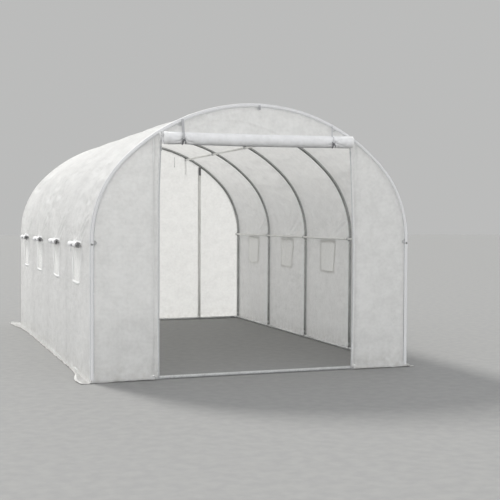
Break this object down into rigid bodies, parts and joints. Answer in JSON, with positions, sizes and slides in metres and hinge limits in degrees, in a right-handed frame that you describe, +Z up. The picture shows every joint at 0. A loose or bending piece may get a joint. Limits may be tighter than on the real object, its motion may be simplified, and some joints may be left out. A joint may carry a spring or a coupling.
{
  "type": "polytunnel greenhouse",
  "caption": "Walk-in arched garden tunnel: bent tube hoops, long rails, white film cover, rolled-up front door and netted side windows with rolled flaps.",
  "frame": {"origin": "middle of the footprint on the ground, between the two gables and the two sides", "axes": "+X across the tunnel to the right as seen from the open front gable, +Y from the front gable to the rear, +Z up"},
  "size_m": [2.5926, 4.1283, 1.9998],
  "materials": {
    "hoop_steel": "galvanised, dull grey",
    "rail_steel": "pale powder coat",
    "base_steel": "galvanised, pale",
    "clip_steel": "galvanised pressing",
    "cover_film": "white translucent film with a fine grid weave",
    "gable_film": "white translucent film with a fine grid weave",
    "rolled_film": "rolled white film",
    "skirt_film": "white film hem",
    "window_net": "fine white insect net",
    "tie_webbing": "grey woven tape"
  },
  "bodies": {
    "root": {"hoop_1": "hoop_steel", "hoop_2": "hoop_steel", "hoop_3": "hoop_steel", "hoop_4": "hoop_steel", "hoop_5": "hoop_steel", "ridge_pole": "rail_steel", "left_purlin": "rail_steel", "right_purlin": "rail_steel", "left_side_rail": "rail_steel", "right_side_rail": "rail_steel", "front_door_posts": "rail_steel", "rear_door_posts": "rail_steel", "left_ground_rail": "base_steel", "right_ground_rail": "base_steel", "front_ground_rail": "base_steel", "rear_ground_rail": "base_steel", "left_base_fittings": "base_steel", "right_base_fittings": "base_steel", "ridge_clips": "clip_steel", "left_clips": "clip_steel", "right_clips": "clip_steel", "roof_left": "cover_film", "roof_top": "cover_film", "roof_right": "cover_film", "left_shoulder": "cover_film", "right_shoulder": "cover_film", "left_wall": "cover_film", "right_wall": "cover_film", "front_left_panel": "gable_film", "front_right_panel": "gable_film", "front_top_panel": "gable_film", "rear_left_panel": "gable_film", "rear_right_panel": "gable_film", "rear_top_panel": "gable_film", "rear_door": "gable_film", "front_door_roll": "rolled_film", "left_window_rolls": "rolled_film", "right_window_rolls": "rolled_film", "left_window_nets": "window_net", "right_window_nets": "window_net", "front_door_ties": "tie_webbing", "rear_door_ties": "tie_webbing", "left_skirt": "skirt_film", "right_skirt": "skirt_film", "gable_skirts": "skirt_film"}
  },
  "joints": []
}
